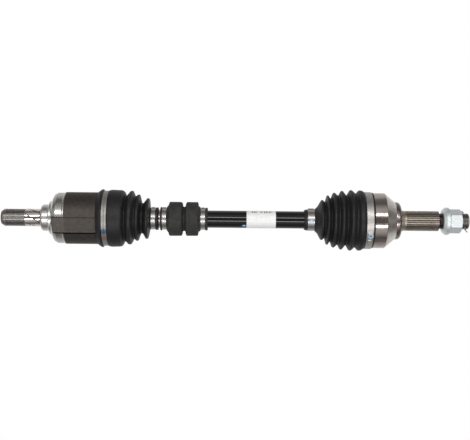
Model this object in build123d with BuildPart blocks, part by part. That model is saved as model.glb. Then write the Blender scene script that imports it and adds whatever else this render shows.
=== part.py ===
from build123d import *
from math import cos, pi, radians, sin, sqrt
import os

# A complete front drive axle: plunging tripod joint (inboard, -X), bar with a tuned mass
# damper, and fixed ball joint (outboard, +X).  The origin is on the axle's axis at
# mid-length, +X runs to the wheel end and +Z is up.  All sizes are in millimetres.

# Driving dimensions
half_length = 358.5
bar_radius = 13.25
boot_gap = 0.3

journal_start, journal_end, journal_radius = -321.4, -298.6, 13.5
stub_spline_radius = 13.1
seal_radius = 20.4
groove_starts, groove_lead, groove_size, groove_angle = 6, 133.0, 0.7, 61.0
cup_radius = 39.9
cup_floor, cup_mouth, cup_lip = -269.0, -198.0, -210.2
spider_x = -232.0
lobe_angle = 48.0
roller_centre_radius = 24.0
roller_radius = 16.0
roller_half_width = 6.0
trunnion_radius = 8.5
needle_radius = 1.2

joint_x = 205.0
ball_radius = 7.94
ball_circle_radius = 29.0
track_radius = 9.0
cage_outer_radius, cage_inner_radius = 32.0, 26.5
bell_inner_radius, race_radius = 32.3, 26.2
bell_seat_radius, bell_radius = 39.9, 42.3
joint_spline_radius = 11.5
neck_radius = 12.0

hub_spline_radius = 15.3
thread_radius, thread_pitch = 12.0, 1.5
bearing_face = 253.4
nut_across_flats, nut_start, nut_end = 32.0, 328.55, 347.0
pin_x, pin_angle, pin_radius, pin_leg_radius = 351.3, 142.0, 1.7, 0.85
small_clamp_radius, small_clamp_thickness = 16.7, 0.7
boot_seat_radius, damper_seat_radius, damper_mass_radius = 15.7, 16.0, 26.2

os.makedirs("parts", exist_ok=True)


def outline(*corners):
    """Closed face in the XZ plane from (x, radius) or (x, radius, rounding) corners."""
    with BuildSketch(Plane.XZ) as profile:
        with BuildLine():
            FilletPolyline(
                *[corner[:2] for corner in corners],
                radius=[corner[2] if len(corner) > 2 else 0 for corner in corners],
                close=True,
            )
        make_face()
    return profile.sketch


def turn(*corners, mode=Mode.ADD):
    """Turned shape about the axle's axis, from the corners of its half outline."""
    revolve(outline(*corners), axis=Axis.X, mode=mode)


def ring(start, end, inner, outer, mode=Mode.ADD):
    """Plain ring about the axle's axis."""
    turn((start, inner), (end, inner), (end, outer), (start, outer), mode=mode)


def cut_splines(start, end, radius, teeth, depth):
    """Straight-sided spaces between involute spline teeth, cut from start to end."""
    half_pitch = pi * radius / teeth / 2
    with BuildSketch(Plane.YZ.offset(start)) as spaces:
        with PolarLocations(radius, teeth):
            Polygon(
                (0.5, half_pitch * 1.25),
                (-depth, half_pitch * 0.5),
                (-depth, -half_pitch * 0.5),
                (0.5, -half_pitch * 1.25),
                align=None,
            )
    extrude(spaces.sketch, amount=end - start, mode=Mode.SUBTRACT)


def cut_centre_hole(x, inward):
    """60 degree lathe centre in a shaft's end face; inward is +1 or -1 along X."""
    tip = x + inward * 6.0
    turn(
        (x - inward, 0), (x - inward, 3.6), (x + inward * 4.0, 1.0), (tip, 1.0), (tip, 0),
        mode=Mode.SUBTRACT,
    )


def crimp_ear(start, end, radius, width=7.0, height=1.5):
    """Pinched ear of a band clamp, standing on the band at +Y."""
    with BuildSketch(Plane.YZ.offset(start + 0.8)) as ear:
        with Locations((radius + height / 2 - 0.3, 0)):
            RectangleRounded(height + 0.6, width, height / 3)
    extrude(ear.sketch, amount=end - start - 1.6)


def save(builder, name):
    builder.part.label = name
    export_step(builder.part, f"parts/{name}.step")


# ---------------------------------------------------------------- shaft and damper

with BuildPart() as interconnecting_shaft:
    inboard_end, outboard_end = spider_x - 14.5, joint_x + 16.0
    turn(
        (inboard_end, 0),
        (inboard_end, joint_spline_radius, 1.0),
        (-184.0, joint_spline_radius, 8),
        (-170.0, bar_radius, 8),
        (112.0, bar_radius, 6),
        (124.0, neck_radius, 6),
        (joint_x - 14.0, neck_radius, 2),
        (joint_x - 13.4, joint_spline_radius),
        (outboard_end, joint_spline_radius, 1.0),
        (outboard_end, 0),
    )
    cut_splines(inboard_end - 1, spider_x + 12, joint_spline_radius, 24, 1.2)
    cut_splines(joint_x - 12.5, outboard_end + 1, joint_spline_radius, 24, 1.2)
    for groove in (spider_x - 12.2, joint_x + 12.2):
        ring(groove - 0.8, groove + 0.8, 9.9, 13, mode=Mode.SUBTRACT)
save(interconnecting_shaft, "interconnecting_shaft")

for circlip_name, circlip_x in (("spider_circlip", spider_x - 12.2), ("race_circlip", joint_x + 12.2)):
    with BuildPart() as shaft_circlip:
        with BuildSketch(Plane.YZ.offset(circlip_x - 0.75)):
            Circle(12.9)
            Circle(9.95, mode=Mode.SUBTRACT)
            with Locations((0, 11.5)):
                Rectangle(5, 6, mode=Mode.SUBTRACT)
        extrude(amount=1.5)
    save(shaft_circlip, circlip_name)

weights = {"damper_weight_inboard": (-98.0, -84.0), "damper_weight_outboard": (-72.5, -59.0)}
weight_inner, weight_outer = 15.6, 23.6
with BuildPart() as damper_rubber:
    turn(
        (-114.5, bar_radius),
        (-114.5, 18.0, 0.8),
        (-112.0, 18.0, 0.5),
        (-111.9, damper_seat_radius),
        (-104.8, damper_seat_radius),
        (-104.7, 18.4, 0.8),
        (-101.5, 22.6, 1.5),
        (-101.0, damper_mass_radius, 1.4),
        (-81.0, damper_mass_radius, 1.6),
        (-79.8, 18.4, 1.5),
        (-76.2, 18.4, 1.5),
        (-75.0, damper_mass_radius, 1.6),
        (-56.5, damper_mass_radius, 1.6),
        (-56.0, 19.0, 0.8),
        (-53.0, 18.2, 0.8),
        (-52.9, damper_seat_radius),
        (-45.6, damper_seat_radius),
        (-45.5, 17.6, 0.5),
        (-42.0, 17.6, 0.8),
        (-42.0, bar_radius),
    )
    for start, end in weights.values():
        ring(start, end, weight_inner, weight_outer, mode=Mode.SUBTRACT)
save(damper_rubber, "damper_rubber")

for weight_name, (start, end) in weights.items():
    with BuildPart() as damper_weight:
        ring(start, end, weight_inner, weight_outer)
    save(damper_weight, weight_name)

small_clamps = {
    "inboard_boot_small_clamp": (-129.0, -121.7),
    "damper_clamp_inboard": (-111.85, -104.85),
    "damper_clamp_outboard": (-52.85, -45.65),
    "outboard_boot_small_clamp": (111.1, 121.9),
}
for clamp_name, (start, end) in small_clamps.items():
    with BuildPart() as small_clamp:
        ring(start, end, small_clamp_radius - small_clamp_thickness, small_clamp_radius)
        crimp_ear(start, end, small_clamp_radius)
    save(small_clamp, clamp_name)

with BuildPart() as damper_stop_ring:
    turn((-116.6, bar_radius), (-114.6, bar_radius), (-114.6, 14.3, 0.3), (-116.6, 14.3, 0.3))
save(damper_stop_ring, "damper_stop_ring")

with BuildPart() as bar_label:
    ring(17.7, 62.4, bar_radius, bar_radius + 0.15)
save(bar_label, "bar_label")

# ---------------------------------------------------------------- tripod, on the shaft

lobe_angles = [lobe_angle + 120 * lobe for lobe in range(3)]
lobe_planes = [
    Plane(
        origin=(spider_x, 0, 0),
        x_dir=(1, 0, 0),
        z_dir=(0, cos(radians(angle)), sin(radians(angle))),
    )
    for angle in lobe_angles
]
roller_start = roller_centre_radius - roller_half_width
roller_end = roller_centre_radius + roller_half_width
needle_circle_radius = trunnion_radius + needle_radius + 0.05
roller_bore_radius = needle_circle_radius + needle_radius + 0.05
trunnion_end = 32.5
retainer_start = roller_end + 0.2

with BuildPart() as tripod_spider:
    ring(spider_x - 11, spider_x + 11, 0, 17.3)
    chamfer(tripod_spider.edges().filter_by(GeomType.CIRCLE), 1.5)
    for plane in lobe_planes:
        with BuildSketch(plane):
            Circle(trunnion_radius)
        extrude(amount=trunnion_end)
        with BuildSketch(plane.offset(retainer_start)):
            Circle(trunnion_radius + 1)
            Circle(trunnion_radius - 0.8, mode=Mode.SUBTRACT)
        extrude(amount=1.0, mode=Mode.SUBTRACT)
    ring(spider_x - 12, spider_x + 12, 0, joint_spline_radius, mode=Mode.SUBTRACT)
save(tripod_spider, "tripod_spider")

for number, plane in enumerate(lobe_planes, start=1):
    with BuildPart() as needle_set:
        with BuildSketch(plane.offset(roller_start + 0.3)):
            with PolarLocations(needle_circle_radius, 24):
                Circle(needle_radius)
        extrude(amount=2 * roller_half_width - 0.6)
    save(needle_set, f"needle_set_{number}")

    with BuildPart() as roller:
        with BuildSketch(plane.offset(roller_start)):
            Circle(roller_radius)
        extrude(amount=2 * roller_half_width)
        roller_centre = plane.origin + plane.z_dir * roller_centre_radius
        with Locations(roller_centre):
            Sphere(roller_radius, mode=Mode.INTERSECT)
        with BuildSketch(plane.offset(roller_start - 1)):
            Circle(roller_bore_radius)
        extrude(amount=2 * roller_half_width + 2, mode=Mode.SUBTRACT)
    save(roller, f"roller_{number}")

    with BuildPart() as roller_retainer:
        with BuildSketch(plane.offset(retainer_start)):
            Circle(11.8)
            Circle(trunnion_radius - 0.8, mode=Mode.SUBTRACT)
        extrude(amount=0.95)
    save(roller_retainer, f"roller_retainer_{number}")

# ---------------------------------------------------------------- inboard housing and boot

slot_half_width, slot_roof_radius, cavity_radius = 16.8, 34.4, 27.5
recess_floor_radius, recess_half_width, recess_start = 33.4, 13.0, -275.8

with BuildPart() as tulip_housing:
    turn(
        (-half_length, 0),
        (-half_length, 10.0),
        (-half_length + 4.6, stub_spline_radius, 1.5),
        (journal_start, stub_spline_radius),
        (journal_start + 0.4, journal_radius),
        (journal_end, journal_radius),
        (journal_end, 12.9),
        (journal_end + 1.2, 12.9),
        (journal_end + 1.2, seal_radius, 5.0),
        (-286.0, seal_radius),
        (-285.3, 22.4, 0.8),
        (-283.2, 25.8, 1.0),
        (-280.3, 25.8),
        (-279.3, 29.2, 3.0),
        (-275.3, 36.4, 3.5),
        (-270.4, 38.9, 3.0),
        (-261.0, 38.9),
        (-259.4, cup_radius),
        (cup_lip, cup_radius),
        (cup_lip, 37.6),
        (cup_mouth, 37.6, 1.0),
        (cup_mouth, 0),
    )
    with BuildSketch(Plane.YZ.offset(cup_floor)):
        with PolarLocations(slot_roof_radius / 2, 3, start_angle=lobe_angle):
            Rectangle(slot_roof_radius, 2 * slot_half_width)
        Circle(slot_roof_radius, mode=Mode.INTERSECT)
        Circle(cavity_radius)
    extrude(amount=cup_mouth - cup_floor + 1, mode=Mode.SUBTRACT)
    turn(
        (cup_mouth - 3, 0), (cup_mouth - 3, cavity_radius), (cup_mouth, 30.5),
        (cup_mouth + 1, 30.5), (cup_mouth + 1, 0), mode=Mode.SUBTRACT,
    )
    with BuildSketch(Plane.YZ.offset(recess_start)):
        with PolarLocations(recess_floor_radius + 5, 3, start_angle=lobe_angle + 60):
            RectangleRounded(10, 2 * recess_half_width, 2.5)
    extrude(amount=cup_mouth + 1 - recess_start, mode=Mode.SUBTRACT)
    cut_splines(-half_length - 1, journal_start, stub_spline_radius, 26, 1.4)
    ring(-352.8, -351.2, 12.0, 15, mode=Mode.SUBTRACT)
    cut_centre_hole(-half_length, 1)
    groove_length = journal_end + 0.6 - journal_start
    first_groove = Plane.YZ.offset(journal_start) * Helix(groove_lead, groove_length, journal_radius)
    for start in range(groove_starts):
        groove = first_groove.rotate(Axis.X, groove_angle + 360 / groove_starts * start)
        with BuildSketch(Plane(origin=groove @ 0, z_dir=groove % 0)) as groove_section:
            Circle(groove_size)
        sweep(groove_section.sketch, path=groove, mode=Mode.SUBTRACT)
save(tulip_housing, "tulip_housing")

with BuildPart() as stub_circlip:
    with BuildSketch(Plane.XZ):
        with Locations((-352.0, 12.75)):
            Circle(0.7)
    revolve(axis=Axis.X, revolution_arc=330)
save(stub_circlip, "stub_circlip")

with BuildPart() as boot_insert:
    ring(-209.6, cup_mouth - 0.6, 36.0, 38.7)
    ring(-210.0, cup_mouth, 34.0, 37.6, mode=Mode.SUBTRACT)
    with BuildSketch(Plane.YZ.offset(-209.6)):
        with PolarLocations(recess_floor_radius + 5, 3, start_angle=lobe_angle + 60):
            RectangleRounded(10, 2 * recess_half_width, 2.5)
        Circle(38.7, mode=Mode.INTERSECT)
    extrude(amount=cup_mouth - 0.6 + 209.6)
save(boot_insert, "boot_insert")

with BuildPart() as inboard_boot_large_clamp:
    turn(
        (-201.0, 41.3), (-193.2, 41.3), (-193.2, 42.3, 0.3), (-196.8, 42.3), (-196.8, 42.0),
        (-197.4, 42.0), (-197.4, 42.3), (-201.0, 42.3, 0.3),
    )
save(inboard_boot_large_clamp, "inboard_boot_large_clamp")

with BuildPart() as inboard_boot:
    turn(
        (-209.8, 39.0),
        (-209.8, 40.3, 0.5),
        (-203.4, 44.6, 0.8),
        (-201.6, 44.6, 0.5),
        (-201.2, 41.0),
        (-193.0, 41.0),
        (-192.6, 43.5, 0.8),
        (-175.0, 43.7, 4.0),
        (-168.2, 34.2, 1.5),
        (-161.6, 41.8, 1.5),
        (-158.2, 41.8, 1.5),
        (-153.6, 32.6, 1.5),
        (-147.5, 38.4, 2.0),
        (-143.0, 22.6, 1.5),
        (-136.0, 32.2, 1.5),
        (-133.0, 32.0, 1.5),
        (-129.4, boot_seat_radius),
        (-121.5, boot_seat_radius),
        (-121.3, 17.6, 0.5),
        (-117.5, 17.6, 0.8),
        (-117.5, bar_radius + boot_gap),
        (-131.8, bar_radius + boot_gap),
        (-135.4, 27.2, 1.0),
        (-142.6, 18.8, 1.5),
        (-149.0, 31.8, 1.5),
        (-154.4, 28.6, 1.5),
        (-160.4, 37.6, 1.5),
        (-168.2, 29.8, 1.5),
        (-176.4, 40.9, 2.0),
        (-190.4, 40.9),
        (-191.6, 39.0),
    )
save(inboard_boot, "inboard_boot")

# ---------------------------------------------------------------- ball joint, inner parts

def cut_ball_tracks():
    """Six ball tracks: three rings of circular section through the joint's centre."""
    for track in range(3):
        angle = 30 + 60 * track
        track_plane = Plane(
            origin=(joint_x, 0, 0),
            x_dir=(1, 0, 0),
            z_dir=(0, -sin(radians(angle)), cos(radians(angle))),
        )
        with Locations(track_plane.location):
            Torus(ball_circle_radius, track_radius, mode=Mode.SUBTRACT)


with BuildPart() as inner_race:
    ring(joint_x - 12, joint_x + 11.3, 0, 30)
    with Locations((joint_x, 0, 0)):
        Sphere(race_radius, mode=Mode.INTERSECT)
    cut_ball_tracks()
    ring(joint_x - 14, joint_x + 14, 0, joint_spline_radius, mode=Mode.SUBTRACT)
save(inner_race, "inner_race")

ball_planes = [
    Plane(
        origin=(joint_x, 0, 0),
        x_dir=(1, 0, 0),
        z_dir=(0, cos(radians(30 + 60 * ball)), sin(radians(30 + 60 * ball))),
    )
    for ball in range(6)
]
with BuildPart() as ball_cage:
    ring(joint_x - 14, joint_x + 14, 0, 40)
    with Locations((joint_x, 0, 0)):
        Sphere(cage_outer_radius, mode=Mode.INTERSECT)
        Sphere(cage_inner_radius, mode=Mode.SUBTRACT)
    for plane in ball_planes:
        with BuildSketch(plane.offset(15)) as window:
            RectangleRounded(2 * ball_radius + 0.1, 19.5, 3)
        extrude(window.sketch, amount=25, mode=Mode.SUBTRACT)
save(ball_cage, "ball_cage")

for number, plane in enumerate(ball_planes, start=1):
    with BuildPart() as joint_ball:
        with Locations(plane.origin + plane.z_dir * ball_circle_radius):
            Sphere(ball_radius)
    save(joint_ball, f"joint_ball_{number}")

# ---------------------------------------------------------------- bell, wheel stub and boot

with BuildPart() as wheel_stub_bell:
    turn(
        (191.0, 0),
        (191.0, bell_seat_radius, 1.0),
        (210.6, bell_seat_radius),
        (210.6, bell_radius, 0.5),
        (228.7, bell_radius, 1.5),
        (244.9, 28.7, 1.0),
        (bearing_face, 28.6, 6.0),
        (bearing_face, 17.5, 1.0),
        (259.6, 15.0, 1.5),
        (262.0, hub_spline_radius),
        (312.0, hub_spline_radius),
        (313.8, 11.9),
        (314.6, 11.0),
        (316.0, thread_radius),
        (half_length - 1.2, thread_radius),
        (half_length, thread_radius - 1.2),
        (half_length, 0),
    )
    with Locations((joint_x, 0, 0)):
        Sphere(bell_inner_radius, mode=Mode.SUBTRACT)
    cut_ball_tracks()
    turn(
        (189.0, 0), (189.0, 34.0), (191.0, 33.0), (joint_x - 10, 30.7), (joint_x - 10, 0), mode=Mode.SUBTRACT
    )
    cut_splines(262.0, 314.0, hub_spline_radius, 29, 1.5)
    for turn_number in range(27):
        root = 316.8 + turn_number * thread_pitch
        turn(
            (root - 0.55, thread_radius + 0.1), (root, thread_radius - 0.92),
            (root + 0.55, thread_radius + 0.1), mode=Mode.SUBTRACT,
        )
    pin_plane = Plane(
        origin=(pin_x, 0, 0),
        x_dir=(1, 0, 0),
        z_dir=(0, cos(radians(pin_angle)), sin(radians(pin_angle))),
    )
    with BuildSketch(pin_plane.offset(-20)) as pin_hole:
        Circle(pin_radius + 0.4)
    extrude(pin_hole.sketch, amount=40, mode=Mode.SUBTRACT)
    cut_centre_hole(half_length, -1)
save(wheel_stub_bell, "wheel_stub_bell")

with BuildPart() as cotter_pin:
    leg_plane = Plane(
        origin=(pin_x, 0, 0),
        x_dir=(1, 0, 0),
        z_dir=(0, -sin(radians(pin_angle)), cos(radians(pin_angle))),
    )
    with BuildSketch(pin_plane.offset(-14.5)):
        Circle(pin_radius)
    extrude(amount=28.0)
    for leg_points in (
        [(-pin_leg_radius, 10), (-pin_leg_radius, 14.0), (3.2, 21.0)],
        [(pin_leg_radius, 10), (pin_leg_radius, 12.8), (1.4, 15.6)],
    ):
        with BuildLine(leg_plane) as leg_path:
            FilletPolyline(*leg_points, radius=2.0)
        with BuildSketch(Plane(origin=leg_path.line @ 0, z_dir=leg_path.line % 0)):
            Circle(pin_leg_radius)
        sweep(path=leg_path.line)
    with Locations(leg_plane * Location((0, -17.3, 0))):
        Torus(2.2, 0.9)
save(cotter_pin, "cotter_pin")

with BuildPart() as outboard_boot:
    turn(
        (106.0, bar_radius + boot_gap),
        (106.0, 15.0, 0.5),
        (110.6, 16.2, 0.4),
        (111.0, boot_seat_radius),
        (122.0, boot_seat_radius),
        (122.4, 17.0, 0.5),
        (126.0, 20.0, 1.0),
        (133.6, 31.6, 1.6),
        (137.4, 27.0, 1.2),
        (141.8, 39.0, 1.6),
        (146.3, 33.0, 1.2),
        (151.6, 43.6, 1.8),
        (157.9, 36.9, 1.5),
        (163.4, 46.4, 1.8),
        (170.5, 38.6, 1.6),
        (177.2, 47.9, 1.8),
        (184.8, 40.6, 1.8),
        (191.0, 47.2, 1.8),
        (197.0, 43.6, 0.8),
        (197.4, 42.4),
        (208.4, 42.4),
        (208.8, 43.0, 0.4),
        (210.5, 43.0, 0.4),
        (210.5, bell_seat_radius),
        (197.6, bell_seat_radius),
        (191.0, 43.2, 1.5),
        (184.8, 37.0, 1.5),
        (177.2, 43.2, 1.5),
        (170.5, 35.0, 1.5),
        (163.4, 41.8, 1.5),
        (157.9, 33.2, 1.5),
        (151.6, 39.0, 1.5),
        (146.3, 29.4, 1.2),
        (142.4, 34.0, 1.2),
        (137.4, 22.6, 1.2),
        (133.6, 26.6, 1.2),
        (126.5, bar_radius + boot_gap),
    )
save(outboard_boot, "outboard_boot")

with BuildPart() as outboard_boot_large_clamp:
    ring(197.8, 208.2, 42.4, 43.7)
    crimp_ear(197.8, 208.2, 43.7, width=12.0, height=1.2)
save(outboard_boot_large_clamp, "outboard_boot_large_clamp")

# ---------------------------------------------------------------- washer and nut

with BuildPart() as conical_washer:
    turn(
        (318.4, 12.5), (318.4, 17.2, 2.0), (323.0, 21.0, 1.5), (327.6, 21.0, 0.8), (328.5, 19.5),
        (328.5, 12.5),
    )
save(conical_washer, "conical_washer")

with BuildPart() as hub_nut:
    with BuildSketch(Plane.YZ.offset(nut_start)):
        RegularPolygon(nut_across_flats / 2, 6, major_radius=False, rotation=0)
    extrude(amount=nut_end - nut_start)
    corner_radius = nut_across_flats / sqrt(3)
    turn(
        (nut_start, 0), (nut_start, nut_across_flats / 2), (nut_start + 1.6, corner_radius),
        (nut_end - 1.6, corner_radius), (nut_end, nut_across_flats / 2), (nut_end, 0),
        mode=Mode.INTERSECT,
    )
    ring(nut_start - 1, nut_end + 1, 0, thread_radius + 0.05, mode=Mode.SUBTRACT)
    for face, inward in ((nut_start, 1), (nut_end, -1)):
        turn(
            (face - inward, 0), (face - inward, 14.0), (face + inward * 1.0, 12.0),
            (face + inward * 1.0, 0), mode=Mode.SUBTRACT,
        )
save(hub_nut, "hub_nut")
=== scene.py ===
from math import cos, degrees, pi, radians, sin, sqrt, tan

import bmesh
import bpy
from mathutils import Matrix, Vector
from mathutils import noise as field


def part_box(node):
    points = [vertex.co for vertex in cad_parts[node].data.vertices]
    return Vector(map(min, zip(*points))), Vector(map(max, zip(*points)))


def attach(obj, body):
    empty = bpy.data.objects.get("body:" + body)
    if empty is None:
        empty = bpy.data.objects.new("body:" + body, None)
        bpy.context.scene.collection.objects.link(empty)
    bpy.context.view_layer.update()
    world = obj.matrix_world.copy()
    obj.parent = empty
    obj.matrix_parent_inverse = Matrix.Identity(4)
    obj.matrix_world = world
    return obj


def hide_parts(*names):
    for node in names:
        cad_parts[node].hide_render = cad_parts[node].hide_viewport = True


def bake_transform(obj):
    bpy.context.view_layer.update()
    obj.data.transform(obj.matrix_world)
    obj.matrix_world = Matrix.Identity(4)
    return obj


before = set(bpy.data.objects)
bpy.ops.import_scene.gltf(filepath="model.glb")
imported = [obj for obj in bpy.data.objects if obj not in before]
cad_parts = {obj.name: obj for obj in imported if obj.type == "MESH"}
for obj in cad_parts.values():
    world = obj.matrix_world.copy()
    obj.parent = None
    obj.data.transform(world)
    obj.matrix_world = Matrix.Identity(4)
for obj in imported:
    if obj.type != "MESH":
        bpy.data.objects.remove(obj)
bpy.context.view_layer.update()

# The axle lies along X, wheel end at +X.  Lengths below are in millimetres, like the
# design's; MM turns them into the frame's metres.
MM = 0.001
BAR_RADIUS = 13.25
BOOT_SEAT_RADIUS = 15.8
DAMPER_SEAT_RADIUS = 15.98
SMALL_CLAMP_RADIUS = 16.7
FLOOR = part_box("outboard_boot")[0][2]


# ------------------------------------------------------------------ mesh helpers

# Half the angle of a corner too flat to round, the share of a side that a rounding may
# take, and how far each of its steps turns.
NEARLY_STRAIGHT, LONGEST_ROUNDING, DEGREES_PER_STEP = radians(88), 0.48, 14
LATHE_SEGMENTS = 144


def round_corners(corners):
    """Points (x, radius) of a closed outline; a corner's third number is its rounding."""
    points = []
    count = len(corners)
    for i, corner in enumerate(corners):
        here = Vector(corner[:2])
        rounding = corner[2] if len(corner) > 2 else 0
        before, after = Vector(corners[i - 1][:2]), Vector(corners[(i + 1) % count][:2])
        u, v = (before - here).normalized(), (after - here).normalized()
        half = u.angle(v) / 2
        if rounding == 0 or half > NEARLY_STRAIGHT:
            points.append(here)
            continue
        shorter = min((before - here).length, (after - here).length)
        reach = min(rounding / tan(half), LONGEST_ROUNDING * shorter)
        radius = reach * tan(half)
        centre = here + (u + v).normalized() * radius / sin(half)
        start, end = here + u * reach - centre, here + v * reach - centre
        turn = start.angle_signed(end)
        steps = max(2, int(abs(degrees(turn)) / DEGREES_PER_STEP))
        for k in range(steps + 1):
            a = -turn * k / steps
            turned = (start.x * cos(a) - start.y * sin(a), start.x * sin(a) + start.y * cos(a))
            points.append(centre + Vector(turned))
    return points


def split_long(points, longest):
    """The same closed outline with its long straight runs divided."""
    result = []
    for i, point in enumerate(points):
        following = points[(i + 1) % len(points)]
        parts = max(1, int((following - point).length / longest + 0.5))
        result += [point.lerp(following, k / parts) for k in range(parts)]
    return result


def make_object(name, vertices, faces, sharp):
    """Smooth object from vertices in millimetres; edges over the sharp angle stay crisp."""
    mesh = bpy.data.meshes.new(name)
    mesh.from_pydata([[c * MM for c in v] for v in vertices], [], faces)
    bm = bmesh.new()
    bm.from_mesh(mesh)
    bmesh.ops.recalc_face_normals(bm, faces=bm.faces)
    bm.to_mesh(mesh)
    bm.free()
    for polygon in mesh.polygons:
        polygon.use_smooth = True
    mesh.set_sharp_from_angle(angle=radians(sharp))
    obj = bpy.data.objects.new(name, mesh)
    bpy.context.scene.collection.objects.link(obj)
    return obj


def lathe(name, corners, longest, warp=None, sharp=32):
    """Turned piece about the axle's axis, with an optional warp of each point."""
    outline = split_long(round_corners(corners), longest)
    vertices = []
    for s in range(LATHE_SEGMENTS):
        a = 2 * pi * s / LATHE_SEGMENTS
        for p in outline:
            point = Vector((p.x, p.y * cos(a), p.y * sin(a)))
            vertices.append(warp(point) if warp else point)
    n = len(outline)
    faces = []
    for s in range(LATHE_SEGMENTS):
        row, following = s * n, (s + 1) % LATHE_SEGMENTS * n
        for i in range(n):
            k = (i + 1) % n
            faces.append((row + i, row + k, following + k, following + i))
    return make_object(name, vertices, faces, sharp)


def dress(obj, body, slot, shader, *nodes):
    """Puts a finished piece on its body, gives it its material and hides its CAD nodes."""
    obj.data.materials.clear()
    obj.data.materials.append(shader)
    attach(obj, body)
    if nodes:
        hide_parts(*nodes)


# ------------------------------------------------------------------ material helpers

# The mix node's colour sockets, by number, because its sockets share their names.
MIX_FACTOR, MIX_A, MIX_B, MIX_RESULT = 0, 6, 7, 2
NOISE_ROUGHNESS = 0.55
# Millimetres over which one colour goes into the next along the axle.
STOP_BLUR = 0.4
# Where a spot's edge lies, in half sizes, and the grain that frays it, in millimetres.
SPOT_OUTSIDE, SPOT_INSIDE, SPOT_GRAIN = 1.06, 0.9, 2.2


class Finish:
    """A material built round one Principled shader, with short names for its nodes."""

    def __init__(self, name, colour, roughness, metallic=0.0, **sockets):
        self.material = bpy.data.materials.new(name)
        self.material.use_nodes = True
        self.tree = self.material.node_tree
        self.shader = next(n for n in self.tree.nodes if n.type == "BSDF_PRINCIPLED")
        self.shader.inputs["Base Color"].default_value = (*colour, 1)
        self.shader.inputs["Roughness"].default_value = roughness
        self.shader.inputs["Metallic"].default_value = metallic
        for socket, value in sockets.items():
            self.shader.inputs[socket.replace("_", " ")].default_value = value
        self.place = self.add("ShaderNodeTexCoord").outputs["Object"]
        self.axes = self.add("ShaderNodeSeparateXYZ", self.place).outputs
        self.relief = None

    def add(self, kind, *inputs, **settings):
        node = self.tree.nodes.new(kind)
        for key, value in settings.items():
            setattr(node, key, value)
        for socket, value in zip(node.inputs, inputs):
            self.feed(socket, value)
        return node

    def feed(self, socket, value):
        if isinstance(value, bpy.types.NodeSocket):
            self.tree.links.new(value, socket)
        elif value is not None:
            socket.default_value = value

    def math(self, operation, a, b=None, c=None, clamp=False):
        node = self.add("ShaderNodeMath", a, b, c, operation=operation, use_clamp=clamp)
        return node.outputs[0]

    def vector_math(self, operation, a, b=None):
        return self.add("ShaderNodeVectorMath", a, b, operation=operation).outputs

    def noise(self, size, stretch=(1, 1, 1), detail=3.0):
        """Noise with features of about the given size in millimetres."""
        scale = [s / (size * MM) for s in stretch]
        node = self.add("ShaderNodeTexNoise")
        self.feed(node.inputs["Vector"], self.vector_math("MULTIPLY", self.place, scale)[0])
        node.inputs["Scale"].default_value = 1.0
        node.inputs["Detail"].default_value = detail
        node.inputs["Roughness"].default_value = NOISE_ROUGHNESS
        return node.outputs[0]

    def mix(self, factor, a, b):
        node = self.add("ShaderNodeMix", data_type="RGBA")
        self.feed(node.inputs[MIX_FACTOR], factor)
        self.feed(node.inputs[MIX_A], a if isinstance(a, bpy.types.NodeSocket) else (*a, 1))
        self.feed(node.inputs[MIX_B], b if isinstance(b, bpy.types.NodeSocket) else (*b, 1))
        return node.outputs[MIX_RESULT]

    def between(self, value, low, high, to_low=0.0, to_high=1.0):
        """The value's place between low and high, clamped, as a number to_low to to_high."""
        node = self.add("ShaderNodeMapRange", value, low, high, to_low, to_high)
        return node.outputs[0]

    def edge(self, value, off, on):
        """Mask that goes from 0 to 1 as a length goes from off to on, both in mm."""
        return self.between(value, off * MM, on * MM)

    def both(self, a, b):
        """Mask where both masks are 1."""
        return self.math("MULTIPLY", a, b)

    def along(self, stops):
        """Colour along the axle: stops are (x in mm, colour), each held until the next."""
        first, last = stops[0][0], stops[-1][0] + 1
        x = self.edge(self.axes[0], first, last)
        ramp = self.add("ShaderNodeValToRGB", x)
        elements = ramp.color_ramp.elements
        while len(elements) > 1:
            elements.remove(elements[-1])
        previous = None
        for at, colour in stops:
            place = (at - first) / (last - first)
            if previous is None:
                elements[0].position, elements[0].color = 0, (*colour, 1)
            else:
                elements.new(place).color = (*previous, 1)
                blurred = min(1, place + STOP_BLUR / (last - first))
                elements.new(blurred).color = (*colour, 1)
            previous = colour
        return ramp.outputs[0]

    def radius(self):
        """Distance from the axle's axis, in metres."""
        flat = self.vector_math("MULTIPLY", self.place, (0, 1, 1))[0]
        return self.vector_math("LENGTH", flat)[1]

    def spot(self, centre, size, ragged=0.25):
        """Mask, 1 inside a ragged spot with the given half sizes round a point, in mm."""
        offset = self.vector_math("ADD", self.place, [-c * MM for c in centre])[0]
        scaled = self.vector_math("MULTIPLY", offset, [1 / (s * MM) for s in size])[0]
        distance = self.vector_math("LENGTH", scaled)[1]
        rough = self.math("MULTIPLY_ADD", self.noise(SPOT_GRAIN), ragged * 2, -ragged)
        return self.between(self.math("ADD", distance, rough), SPOT_OUTSIDE, SPOT_INSIDE)

    def bump(self, height, depth):
        """Surface relief; depth is the height of the whole range, in millimetres."""
        node = self.add("ShaderNodeBump")
        node.inputs["Strength"].default_value = 1.0
        node.inputs["Distance"].default_value = depth * MM
        self.feed(node.inputs["Height"], height)
        self.feed(node.inputs["Normal"], self.relief)
        self.relief = node.outputs[0]
        self.feed(self.shader.inputs["Normal"], self.relief)

    def colour(self, value):
        self.feed(self.shader.inputs["Base Color"], value)
        return self

    def rough(self, value):
        self.feed(self.shader.inputs["Roughness"], value)
        return self


# ------------------------------------------------------------------ finishes

LATHE_MARK_PITCH = 0.35
RING_HOLE = 0.45
PAINT_NAVY = (0.010, 0.035, 0.080)
PAINT_DULL = (0.13, 0.21, 0.34)
PAINT_PALE = (0.42, 0.60, 0.78)


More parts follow.
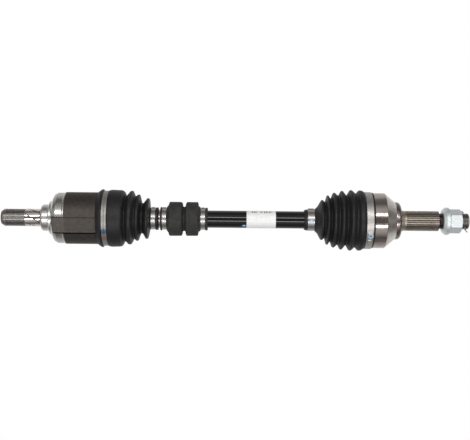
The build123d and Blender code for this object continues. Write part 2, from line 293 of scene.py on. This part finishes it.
def rubber_finish(name, colour, roughness, blotch):
    """Dull rubber; blotch is how far its dusty patches differ from its colour."""
    f = Finish(name, colour, roughness, Specular_IOR_Level=0.35)
    dust = f.between(f.noise(9, detail=4), 0.35, 0.75)
    dark = [c * (1 - blotch) for c in colour]
    pale = [c * (1 + blotch) for c in colour]
    f.colour(f.mix(dust, dark, pale))
    f.rough(f.between(f.noise(3), 0.3, 0.7, roughness - 0.05, roughness + 0.08))
    f.bump(f.noise(0.5, detail=2), 0.03)
    return f


def turned(f, depth):
    """Fine rings that a lathe tool leaves."""
    f.bump(f.noise(LATHE_MARK_PITCH, stretch=(1, 0.02, 0.02), detail=1.5), depth)
    return f


def plain_metal(name, colour, roughness, lay=(1, 0.05, 0.05)):
    """Bare metal with slight mottling, and scratches that run along the lay."""
    f = Finish(name, colour, roughness, 1.0)
    mottle = f.between(f.noise(4, detail=4), 0.3, 0.7)
    f.colour(f.mix(mottle, [c * 0.88 for c in colour], colour))
    f.rough(f.between(f.noise(0.6, stretch=lay), 0.3, 0.7, roughness - 0.06, roughness + 0.08))
    f.bump(f.noise(0.3, stretch=lay, detail=1.5), 0.0015)
    return f


def clamp_finish(name, marks=(), tone=(0.52, 0.50, 0.48), roughness=0.32):
    """Satin stainless band with faint lengthwise scratches, and dabs of paint or stain."""
    f = plain_metal(name, tone, roughness, lay=(1, 0.06, 0.06))
    colour = f.shader.inputs["Base Color"].links[0].from_socket
    for centre, size, paint, hole in marks:
        mask = f.spot(centre, size)
        if hole:
            inner = f.spot(centre, [s * RING_HOLE for s in size], 0.1)
            mask = f.math("SUBTRACT", mask, inner, clamp=True)
        colour = f.mix(mask, colour, paint)
        f.feed(f.shader.inputs["Metallic"], f.math("SUBTRACT", 1.0, mask))
    return f.colour(colour)


# The housing's recesses: one at this angle from +Y, and one each 120 degrees from it.
RECESS_ANGLE, RECESS_HALF_PITCH = 108, 60
RECESS_END = -276.0
OIL_GROOVE_FROM, OIL_GROOVE_TO = -321.1, -298.6


def housing_finish():
    """Inboard housing: machined stub and flange, dark forged body, darker recesses; painted shade on the
    recess walls, in the oil grooves and in the groove after the journal.
    """
    forged = (0.095, 0.083, 0.075)
    f = Finish("inboard_housing_steel", forged, 0.4, 1.0)
    base = f.along([
        (-358.5, (0.30, 0.285, 0.27)),
        (-321.5, (0.90, 0.80, 0.75)),
        # Painted shade: the short dark band in the groove between the journal and the land.
        (-298.6, (0.12, 0.11, 0.10)),
        (-297.3, (0.72, 0.70, 0.67)),
        (-286.4, (0.84, 0.84, 0.79)),
        (-279.4, (0.62, 0.60, 0.57)),
        (-258.4, forged),
        (-205.0, forged),
    ])
    radius = f.radius()
    around = f.math("ARCTAN2", f.axes[2], f.axes[1])
    turn = f.math("SUBTRACT", around, radians(RECESS_ANGLE))
    turn = f.math("WRAP", turn, radians(RECESS_HALF_PITCH), radians(-RECESS_HALF_PITCH))
    aside = f.math("ABSOLUTE", f.math("MULTIPLY", radius, f.math("SINE", turn)))
    recess_end = f.edge(f.axes[0], RECESS_END, RECESS_END + 0.2)
    recess = f.both(f.edge(aside, 13.15, 13.05), recess_end)
    base = f.mix(recess, base, (0.105, 0.092, 0.083))
    # Painted shade: near-black along the recess walls, just inside each recess's edge.
    base = f.mix(f.both(f.edge(aside, 11.9, 12.6), recess), base, (0.012, 0.010, 0.009))
    journal = f.both(
        f.edge(f.axes[0], OIL_GROOVE_TO + 0.1, OIL_GROOVE_TO - 0.1),
        f.edge(f.axes[0], OIL_GROOVE_FROM - 0.1, OIL_GROOVE_FROM + 0.1),
    )
    # Painted shade: the journal's oil grooves, darker where the radius falls below the journal's.
    groove = f.both(f.edge(radius, 13.40, 13.25), journal)
    base = f.mix(groove, base, (0.10, 0.085, 0.075))
    mottle = f.between(f.noise(5, detail=5), 0.3, 0.7, 0.82, 1.12)
    shade = f.add("ShaderNodeVectorMath", base, operation="SCALE")
    f.feed(shade.inputs["Scale"], mottle)
    f.colour(shade.outputs[0])
    rough = f.along([
        (-358.5, (0.40,) * 3), (-321.5, (0.14,) * 3), (-297.3, (0.30,) * 3),
        (-286.4, (0.24,) * 3), (-258.4, (0.58,) * 3), (-205.0, (0.58,) * 3),
    ])
    f.rough(f.math("MAXIMUM", rough, f.math("MULTIPLY", recess, 0.46)))
    f.bump(f.noise(1.1, detail=4), 0.02)
    return turned(f, 0.012)


def bell_finish():
    """Outboard bell: polished shoulder, cone, brownish spline with painted shade in its valleys, thread
    with a bright end.
    """
    f = Finish("bell_steel", (0.5, 0.47, 0.44), 0.25, 1.0)
    base = f.along([
        (190.0, (0.56, 0.49, 0.45)),
        (228.9, (0.74, 0.71, 0.67)),
        (245.2, (0.26, 0.24, 0.23)),
        (253.5, (0.42, 0.37, 0.32)),
        (262.0, (0.36, 0.33, 0.28)),
        (305.0, (0.40, 0.36, 0.37)),
        (311.4, (0.13, 0.12, 0.11)),
        (326.0, (0.92, 0.87, 0.81)),
        (358.5, (0.92, 0.87, 0.81)),
    ])
    # Painted shade: darker in the spline's valleys; the same mask darkens all that is thinner beyond
    # them, the thread too.
    valley_shade = f.both(f.edge(f.radius(), 15.2, 14.2), f.edge(f.axes[0], 261.5, 262.0))
    base = f.mix(f.math("MULTIPLY", valley_shade, 0.75), base, (0.06, 0.052, 0.045))
    smudge = f.between(f.noise(14, stretch=(0.5, 1, 1), detail=4), 0.42, 0.66, 0.0, 0.5)
    f.colour(f.mix(smudge, base, (0.30, 0.20, 0.155)))
    rough = f.along([
        (190.0, (0.13,) * 3), (228.9, (0.15,) * 3), (245.2, (0.26,) * 3),
        (253.5, (0.40,) * 3), (358.5, (0.40,) * 3),
    ])
    wear = f.between(f.noise(2, detail=4), 0.3, 0.7, -0.04, 0.07)
    f.rough(f.math("ADD", rough, wear))
    return turned(f, 0.010)


def bar_finish():
    """Gloss black paint, with a dab of blue near the label."""
    f = Finish("bar_black_paint", (0.008, 0.008, 0.008), 0.045)
    speck = f.between(f.noise(7, detail=5), 0.45, 0.75, 0.0, 0.5)
    base = f.mix(speck, (0.007, 0.007, 0.007), (0.014, 0.013, 0.013))
    paint = f.mix(f.spot((14.0, -9.6, 9.2), (2.6, 1.2, 3.0)), PAINT_NAVY, PAINT_PALE)
    f.colour(f.mix(f.spot((13.4, -10.0, 8.3), (5.2, 3.4, 4.5)), base, paint))
    return f


def label_finish():
    """White film with rows of plain dashes, none of them a letter."""
    f = Finish("label_film", (0.92, 0.92, 0.91), 0.40)
    angle = f.math("ARCTAN2", f.axes[1], f.axes[2])
    ink = None
    # Each row: its angle round the bar, half height in degrees, ends and pitch in mm, and
    # how dark it is.
    rows = ((58, 8.0, 22.5, 56, 2.6, 0.9), (16, 2.6, 32.5, 54, 1.9, 0.3))
    for turn, half_height, start, end, pitch, strength in rows:
        row = f.math("COMPARE", angle, radians(turn), radians(half_height))
        in_run = f.math("COMPARE", f.axes[0], (start + end) / 2 * MM, (end - start) / 2 * MM)
        cell = f.math("FRACT", f.math("DIVIDE", f.axes[0], pitch * MM))
        word = f.between(f.noise(5.5, stretch=(1, 0, 0), detail=0), 0.44, 0.46)
        dash = f.both(f.math("LESS_THAN", cell, 0.62), word)
        mark = f.math("MULTIPLY", f.both(f.both(row, in_run), dash), strength)
        ink = mark if ink is None else f.math("MAXIMUM", ink, mark)
    tone = f.mix(f.between(f.noise(12, detail=4), 0.3, 0.7), (0.90, 0.90, 0.89), (0.96, 0.96, 0.95))
    f.colour(f.mix(ink, tone, (0.05, 0.05, 0.06)))
    f.bump(f.noise(9, detail=2), 0.006)
    return f


def zinc_finish():
    """Pale, slightly blue zinc plate with a matt bloom."""
    f = Finish("zinc_plate", (0.80, 0.84, 0.86), 0.38, 1.0)
    bloom = f.between(f.noise(3.5, detail=4), 0.35, 0.7)
    f.colour(f.mix(bloom, (0.74, 0.79, 0.81), (0.90, 0.92, 0.92)))
    f.rough(f.between(f.noise(1.5), 0.3, 0.7, 0.48, 0.60))
    f.bump(f.noise(0.7, detail=3), 0.012)
    return f


boot_rubber = rubber_finish("boot_rubber", (0.013, 0.013, 0.013), 0.48, 0.25).material
damper_rubber = rubber_finish("damper_rubber", (0.034, 0.033, 0.032), 0.72, 0.3).material
zinc = zinc_finish().material
machined = plain_metal("machined_steel", (0.60, 0.57, 0.54), 0.28).material
plain = plain_metal("plain_steel", (0.48, 0.48, 0.48), 0.38).material
bearing = plain_metal("bearing_steel", (0.66, 0.66, 0.68), 0.16).material
forged = plain_metal("forged_steel", (0.12, 0.11, 0.10), 0.5).material

finishes = {
    "interconnecting_shaft": bar_finish().material,
    "tulip_housing": housing_finish().material,
    "wheel_stub_bell": bell_finish().material,
    "bar_label": label_finish().material,
    "damper_stop_ring": machined,
    "tripod_spider": machined,
    "damper_weight_inboard": forged,
    "damper_weight_outboard": forged,
    "boot_insert": boot_rubber,
    "conical_washer": zinc,
    "hub_nut": zinc,
    "inner_race": bearing,
    "ball_cage": bearing,
}
CLIPS_AND_PIN = ("roller_retainer", "spider_circlip", "race_circlip", "stub_circlip", "cotter")
for name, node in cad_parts.items():
    if name in finishes:
        finish = finishes[name]
    elif name.startswith(CLIPS_AND_PIN):
        finish = plain
    else:
        finish = bearing
    node.data.materials.clear()
    node.data.materials.append(finish)


# ------------------------------------------------------------------ boots

# How fast the warp grows with the radius and fades along the axle, the size of its waves,
# and the radius at which a fold leans by the stated amount.
WARP_RISE, WARP_FADE = 12, 8
WAVE_ALONG, WAVE_ACROSS = 16, 24
LEAN_RADIUS = 40


def uneven(lean, swell, seed, still=None, shift=None):
    """Warp of a rubber moulding: its folds lean a little, and are not quite round.

    It grows with the radius, from nothing at the small clamps.  It fades out at the
    x called still, and shift(x) moves the folds towards +Y.
    """
    def warp(p):
        radius = sqrt(p.y ** 2 + p.z ** 2)
        share = min(1.0, max(0.0, (radius - SMALL_CLAMP_RADIUS) / WARP_RISE))
        if still is not None:
            share *= min(1.0, abs(p.x - still) / WARP_FADE)
        wave = field.noise(Vector((p.x / WAVE_ALONG + seed, p.y / WAVE_ACROSS, p.z / WAVE_ACROSS)))
        grow = 1 + swell * wave * share / max(radius, 1)
        aside = shift(p.x) * share if shift else 0
        return Vector((p.x + lean * p.y / LEAN_RADIUS * share, p.y * grow + aside, p.z * grow))
    return warp


BOOT_NECK = -135
BOOT_VALLEY = -168.2
BOOT_SHOULDER = -176.5
FOLDS_ASIDE = 1.4


def folds_aside(x):
    """How far the inboard folds sit towards +Y: most in mid-boot, nothing at its ends."""
    rise = min(1.0, max(0.0, (x - BOOT_VALLEY) / 8))
    fall = min(1.0, max(0.0, (BOOT_NECK - x) / 13))
    return FOLDS_ASIDE * min(rise, fall)


# The inboard boot is two pieces that meet in one plane at BOOT_SHOULDER: the folds, and the collar under
# the large clamp.
boot_folds = lathe("inboard_boot_folds", [
    (BOOT_SHOULDER, 43.5), (-172.4, 43.1, 5.0), (-169.6, 39.6, 5.0), (BOOT_VALLEY, 34.2, 1.2),
    (-161.8, 41.2, 2.2), (-158.0, 41.6, 2.2),
    (-153.6, 32.4, 1.2), (-150.4, 35.6, 1.4), (-147.4, 35.9, 1.6),
    (-143.8, 24.0, 1.5), (-141.4, 23.0, 1.6), (-135.6, 31.6, 1.8), (-132.6, 31.0, 1.6),
    (-130.4, 18.0, 1.0), (-129.3, BOOT_SEAT_RADIUS, 0.5), (-121.7, BOOT_SEAT_RADIUS),
    (-121.4, 17.4, 0.6), (-117.6, 17.4, 0.9),
    (-117.6, BAR_RADIUS + 0.3), (-130.9, BAR_RADIUS + 0.3),
    (-134.4, 27.4, 1.2), (-141.8, 19.8, 1.4), (-149.0, 31.4, 1.4),
    (-153.6, 29.2, 1.0), (-159.9, 37.8, 1.6), (-166.8, 33.0, 0.6),
    (-170.4, 33.4, 1.2), (-174.0, 41.0, 2.0), (BOOT_SHOULDER, 41.0),
], longest=1.6, warp=uneven(1.1, 0.5, 3.1, BOOT_SHOULDER, folds_aside), sharp=50)
boot_collar = lathe("inboard_boot_collar", [
    (-209.8, 38.9), (-209.8, 40.2, 0.7), (-203.8, 44.5, 1.2), (-201.8, 44.7, 0.8), (-201.3, 41.1, 0.3),
    (-193.0, 41.1, 0.3), (-192.4, 43.3, 1.0), (-188.0, 43.9, 3.0),
    (BOOT_SHOULDER, 43.5), (BOOT_SHOULDER, 41.0), (-190.4, 41.0),
    (-192.0, 38.9),
], longest=1.6, sharp=50)
for boot in (boot_folds, boot_collar):
    boot.data.materials.append(boot_rubber)
    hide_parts("inboard_boot")
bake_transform(boot_folds)
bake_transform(boot_collar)

outboard_boot = lathe("outboard_boot_bellows", [
    (106.0, BAR_RADIUS + 0.3), (106.0, 14.9, 0.5), (108.6, 16.0, 0.6), (110.8, 16.2, 0.3),
    (111.0, BOOT_SEAT_RADIUS), (122.0, BOOT_SEAT_RADIUS), (122.5, 17.2, 0.6), (126.2, 20.6, 2.0),
    (131.8, 30.4, 1.4), (134.2, 31.0, 1.6), (137.6, 27.2, 1.0), (140.6, 37.8, 1.6),
    (142.6, 38.2, 1.5), (146.4, 32.2, 0.8), (150.0, 42.0, 1.8), (152.4, 42.2, 1.7),
    (157.9, 37.2, 1.2), (162.0, 45.2, 1.9), (164.4, 45.2, 1.9), (170.5, 37.8, 1.2),
    (175.8, 46.7, 2.0), (178.4, 46.6, 2.0), (184.8, 40.8, 1.8), (189.4, 46.3, 2.6),
    (193.8, 46.0, 2.2), (197.2, 43.9, 0.8), (197.5, 42.5, 0.3), (208.4, 42.5, 0.3),
    (208.9, 43.0, 0.4), (210.4, 42.9, 0.4), (210.4, 40.0), (197.8, 40.0),
    (191.6, 42.6, 1.5), (184.8, 37.6, 1.5), (177.2, 42.4, 1.5), (170.5, 34.8, 1.5),
    (163.4, 41.0, 1.5), (157.9, 34.0, 1.2), (151.4, 38.2, 1.2), (146.3, 29.4, 1.0),
    (142.0, 33.4, 1.0), (137.6, 24.2, 1.0), (133.4, 26.8, 1.0), (127.2, 16.2, 1.0),
    (124.0, BAR_RADIUS + 0.3),
], longest=1.8, warp=uneven(0.5, 0.5, 7.7), sharp=50)
outboard_boot.data.materials.append(boot_rubber)
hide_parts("outboard_boot")
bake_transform(outboard_boot)


# ------------------------------------------------------------------ paint on the bar

PAINT_FROM, PAINT_TO = -118.0, 110.0
PAINT_INSIDE, PAINT_OUTSIDE = BAR_RADIUS - 0.1, BAR_RADIUS + 0.04
paint_coat = lathe("bar_paint_coat", [
    (PAINT_FROM, PAINT_INSIDE), (PAINT_FROM, PAINT_OUTSIDE),
    (PAINT_TO, PAINT_OUTSIDE), (PAINT_TO, PAINT_INSIDE),
], longest=24)
dress(paint_coat, "shaft", "black_paint", finishes["interconnecting_shaft"])


# ------------------------------------------------------------------ damper

damper_sleeve = lathe("damper_sleeve", [
    (-114.5, BAR_RADIUS), (-114.5, 17.4, 0.8), (-113.6, 18.1, 0.7), (-112.1, 18.0, 0.5),
    (-111.9, DAMPER_SEAT_RADIUS), (-104.8, DAMPER_SEAT_RADIUS), (-104.6, 18.2, 0.8),
    (-101.8, 21.6, 2.5), (-101.1, 24.6, 1.4), (-100.2, 26.2, 1.0), (-82.0, 26.1, 1.6),
    (-80.6, 24.0, 1.5), (-80.0, 19.4, 1.8), (-78.2, 18.3, 1.8), (-76.2, 19.2, 1.6),
    (-75.2, 24.0, 1.5), (-73.8, 26.1, 1.4), (-57.4, 26.1, 1.0), (-56.4, 24.2, 1.2),
    (-55.8, 20.0, 1.6), (-53.2, 18.3, 0.8), (-52.9, DAMPER_SEAT_RADIUS), (-45.6, DAMPER_SEAT_RADIUS),
    (-45.4, 17.5, 0.5), (-42.0, 17.5, 0.9), (-42.0, BAR_RADIUS),
], longest=2.0, warp=uneven(0.3, 0.35, 11.3), sharp=40)
dress(damper_sleeve, "shaft", "damper_rubber", damper_rubber, "damper_rubber")



# ------------------------------------------------------------------ band clamps

# A band's raised middle, the width of its soft edges, and half its pressed line.
CROWN, EDGE_WIDTH, GROOVE_HALF = 0.12, 0.9, 0.8
EAR_THICKNESS = 0.6


def band(name, start, end, inner, outer, groove=0.0):
    """Rolled band with soft edges and, where asked, a pressed line along the middle."""
    middle = (start + end) / 2
    top = outer + CROWN
    corners = [(start, inner), (start, outer, 0.25), (start + EDGE_WIDTH, top, 0.3)]
    if groove:
        corners += [
            (middle - GROOVE_HALF, top, 0.2), (middle, outer - groove, 0.3),
            (middle + GROOVE_HALF, top, 0.2),
        ]
    corners += [(end - EDGE_WIDTH, top, 0.3), (end, outer, 0.25), (end, inner)]
    return lathe(name, corners, longest=6.0, sharp=28)


def ear(name, start, end, radius, angle, width, height):
    """Crimped ear: a strip that leaves the band, rises, is pinched at the top and returns."""
    half = width / 2
    path = [
        (-half - 2.0, -0.15), (-half, 0.1), (-half * 0.55, height * 0.55), (-half * 0.5, height * 0.95),
        (0, height * 1.05),
        (half * 0.5, height * 0.95), (half * 0.55, height * 0.55), (half, 0.1), (half + 2.0, -0.15),
    ]
    vertices, faces = [], []
    for x, inset in ((start + 0.7, 0.2), (start + 1.1, 0), (end - 1.1, 0), (end - 0.7, 0.2)):
        for across, rise in path:
            for level in (rise - inset, rise - EAR_THICKNESS):
                a = angle + across / radius
                r = radius + level
                vertices.append((x, r * cos(a), r * sin(a)))
    row = len(path) * 2
    for k in range(3):
        for i in range(len(path) - 1):
            a, b = k * row + 2 * i, (k + 1) * row + 2 * i
            faces += [(a, b, b + 2, a + 2), (a + 1, a + 3, b + 3, b + 1)]
        near, far = k * row, (k + 1) * row
        faces += [
            (near, near + 1, far + 1, far),
            (near + row - 2, far + row - 2, far + row - 1, near + row - 1),
        ]
    for i in range(len(path) - 1):
        a, b = 2 * i, 3 * row + 2 * i
        faces += [(a, a + 2, a + 3, a + 1), (b, b + 1, b + 3, b + 2)]
    piece = make_object(name, vertices, faces, 40)
    rounding = piece.modifiers.new("soft", "SUBSURF")
    rounding.levels = rounding.render_levels = 2
    return piece


def join(main, *others):
    """One object of several, so that a clamp is one piece."""
    for other in others:
        depsgraph = bpy.context.evaluated_depsgraph_get()
        mesh = bpy.data.meshes.new_from_object(other.evaluated_get(depsgraph))
        bm = bmesh.new()
        bm.from_mesh(main.data)
        bm.from_mesh(mesh)
        bm.to_mesh(main.data)
        bm.free()
        bpy.data.objects.remove(other)
    return main


# Marks on the clamps: centre, half sizes, colour, and whether the middle is left bare.
BLUE_SMEAR = ((116.5, -2.6, 16.4), (3.6, 3.6, 4.0), PAINT_PALE, True)
BLUE_DAB = ((-197.0, -20.2, 37.3), (4.4, 4.2, 6.0), PAINT_DULL, False)
RED_STAIN = ((-197.0, -30.5, 29.4), (4.0, 4.5, 6.0), (0.20, 0.12, 0.10), False)
BLUE_RING = ((204.0, -23.4, 36.9), (4.2, 4.2, 6.0), PAINT_PALE, True)

small_bands = {
    "inboard_boot_small_clamp": (-129.0, -121.8),
    "damper_clamp_inboard": (-111.8, -104.9),
    "damper_clamp_outboard": (-52.8, -45.7),
    "outboard_boot_small_clamp": (111.2, 121.8),
}
for name, (start, end) in small_bands.items():
    marks = [BLUE_SMEAR] if name == "outboard_boot_small_clamp" else []
    clamp = join(
        band(name + "_band", start, end, SMALL_CLAMP_RADIUS - 0.75, SMALL_CLAMP_RADIUS - 0.1),
        ear(name + "_ear", start, end, SMALL_CLAMP_RADIUS, radians(12), 6.0, 1.5),
    )
    dress(clamp, "shaft", "clamp_steel", clamp_finish(name + "_steel", marks).material, name)

INBOARD_BAND_TONE, INBOARD_BAND_ROUGHNESS = (0.42, 0.41, 0.38), 0.52
OUTBOARD_BAND_TONE, OUTBOARD_BAND_ROUGHNESS = (0.58, 0.55, 0.52), 0.44
dress(
    join(
        band("inboard_boot_large_band", -201.0, -193.2, 41.35, 42.25, groove=0.5),
        ear("inboard_boot_large_ear", -201.0, -193.2, 42.3, radians(-68), 9.0, 1.8),
    ),
    "inboard_housing", "clamp_steel",
    clamp_finish(
        "inboard_boot_large_clamp_steel", [BLUE_DAB, RED_STAIN],
        INBOARD_BAND_TONE, INBOARD_BAND_ROUGHNESS,
    ).material,
    "inboard_boot_large_clamp",
)
dress(
    join(
        band("outboard_boot_large_band", 197.8, 208.2, 42.5, 43.6),
        ear("outboard_boot_large_ear", 198.8, 207.2, 43.7, radians(118), 8.0, 1.4),
        ear("outboard_boot_large_hook", 199.6, 206.4, 43.7, radians(136), 9.0, 1.2),
    ),
    "outboard_housing", "clamp_steel",
    clamp_finish(
        "outboard_boot_large_clamp_steel", [BLUE_RING],
        OUTBOARD_BAND_TONE, OUTBOARD_BAND_ROUGHNESS,
    ).material,
    "outboard_boot_large_clamp",
)


# ------------------------------------------------------------------ floor, light, camera

FLOOR_REACH = 30
floor_mesh = bpy.data.meshes.new("floor")
floor_corners = [
    (x * FLOOR_REACH, y * FLOOR_REACH, FLOOR) for x, y in ((-1, -1), (1, -1), (1, 1), (-1, 1))
]
floor_mesh.from_pydata(floor_corners, [], [(0, 1, 2, 3)])
floor = bpy.data.objects.new("floor", floor_mesh)
bpy.context.scene.collection.objects.link(floor)
table = bpy.data.materials.new("white_table")
table.use_nodes = True
table_shader = next(n for n in table.node_tree.nodes if n.type == "BSDF_PRINCIPLED")
table_shader.inputs["Base Color"].default_value = (0, 0, 0, 1)
table_shader.inputs["Specular IOR Level"].default_value = 0
table_shader.inputs["Emission Strength"].default_value = 1
table.cycles.emission_sampling = "NONE"
floor_mesh.materials.append(table)


def seen_or_lit(tree, reading, stops, target):
    """White to the camera; to every other ray a grey that follows the reading, 0 to 1."""
    greys = tree.nodes.new("ShaderNodeValToRGB")
    ramp = greys.color_ramp.elements
    ramp[0].position, ramp[1].position = stops[0][0], stops[-1][0]
    ramp[0].color, ramp[1].color = (*[stops[0][1]] * 3, 1), (*[stops[-1][1]] * 3, 1)
    for place, grey in stops[1:-1]:
        ramp.new(place).color = (grey, grey, grey, 1)
    tree.links.new(reading, greys.inputs[0])
    rays = tree.nodes.new("ShaderNodeLightPath")
    choice = tree.nodes.new("ShaderNodeMix")
    choice.data_type = "RGBA"
    tree.links.new(rays.outputs["Is Camera Ray"], choice.inputs[MIX_FACTOR])
    tree.links.new(greys.outputs[0], choice.inputs[MIX_A])
    choice.inputs[MIX_B].default_value = (1, 1, 1, 1)
    tree.links.new(choice.outputs[MIX_RESULT], target)


def math_node(tree, operation, a, b=None):
    node = tree.nodes.new("ShaderNodeMath")
    node.operation = operation
    for socket, value in zip(node.inputs, (a, b)):
        if isinstance(value, bpy.types.NodeSocket):
            tree.links.new(value, socket)
        elif value is not None:
            socket.default_value = value
    return node.outputs[0]


def split_axes(tree, coordinate):
    place = tree.nodes.new("ShaderNodeTexCoord")
    axes = tree.nodes.new("ShaderNodeSeparateXYZ")
    tree.links.new(place.outputs[coordinate], axes.inputs[0])
    return axes.outputs


# To the camera the floor is white.  What the axle reflects of it gets darker with the
# distance from the axle.
LIT_HALF_LENGTH = 0.3
FLOOR_FAR = 0.5
FLOOR_GREYS = [(0, 0.95), (0.05, 0.9), (0.112, 0.72), (0.26, 0.55), (1, 0.20)]
floor_nodes = table.node_tree
floor_x, floor_y = [
    math_node(floor_nodes, "ABSOLUTE", axis) for axis in split_axes(floor_nodes, "Object")[:2]
]
beyond = math_node(floor_nodes, "SUBTRACT", floor_x, LIT_HALF_LENGTH)
beyond = math_node(floor_nodes, "POWER", math_node(floor_nodes, "MAXIMUM", beyond, 0), 2)
aside = math_node(floor_nodes, "POWER", floor_y, 2)
away = math_node(floor_nodes, "SQRT", math_node(floor_nodes, "ADD", beyond, aside))
seen_or_lit(
    floor_nodes, math_node(floor_nodes, "DIVIDE", away, FLOOR_FAR), FLOOR_GREYS,
    table_shader.inputs["Emission Color"],
)

# Two long strips of light hang over the axle, one to each side of the camera.
STRIP_ANGLE, STRIP_DISTANCE, STRIP_WIDTH, STRIP_LENGTH = radians(24), 1.6, 0.20, 3.6
STRIP_RADIANCE = 7.0
for side in (-1, 1):
    strip = bpy.data.lights.new(f"strip_{side}", "AREA")
    strip.shape = "RECTANGLE"
    strip.size, strip.size_y = STRIP_LENGTH, STRIP_WIDTH
    strip.energy = STRIP_RADIANCE * pi * STRIP_LENGTH * STRIP_WIDTH
    lamp = bpy.data.objects.new(f"strip_{side}", strip)
    lamp.location = (0, side * STRIP_DISTANCE * sin(STRIP_ANGLE), STRIP_DISTANCE * cos(STRIP_ANGLE))
    lamp.rotation_euler = (-side * STRIP_ANGLE, 0, 0)
    bpy.context.scene.collection.objects.link(lamp)

# The room is dark overhead and low down, and brightest between.  Its greys go by the
# angle from straight up, measured across the axle.
ROOM_GREYS = [(0, 0.12), (0.15, 0.14), (0.30, 0.50), (0.52, 0.50), (0.66, 0.32), (0.82, 0.12), (1, 0.18)]
world = bpy.data.worlds.new("studio")
bpy.context.scene.world = world
world.use_nodes = True
sky = world.node_tree
background = next(n for n in sky.nodes if n.type == "BACKGROUND")
way = split_axes(sky, "Generated")
tilt = math_node(sky, "ARCTAN2", math_node(sky, "ABSOLUTE", way[1]), way[2])
seen_or_lit(sky, math_node(sky, "DIVIDE", tilt, pi / 2), ROOM_GREYS, background.inputs["Color"])

# The camera looks straight down, a little off the axle's axis and slightly rolled.
CAMERA_DISTANCE, CAMERA_ASIDE, CAMERA_ROLL = 1.417, -1.0 * MM, radians(0.52)
camera_data = bpy.data.cameras.new("camera")
camera_data.sensor_width = 36
camera_data.lens = 70.5
camera_data.clip_end = 100
camera = bpy.data.objects.new("camera", camera_data)
camera.location = (0, CAMERA_ASIDE, CAMERA_DISTANCE)
camera.rotation_euler = (0, 0, CAMERA_ROLL)
bpy.context.scene.collection.objects.link(camera)
bpy.context.scene.camera = camera
bpy.context.scene.view_settings.view_transform = "Standard"
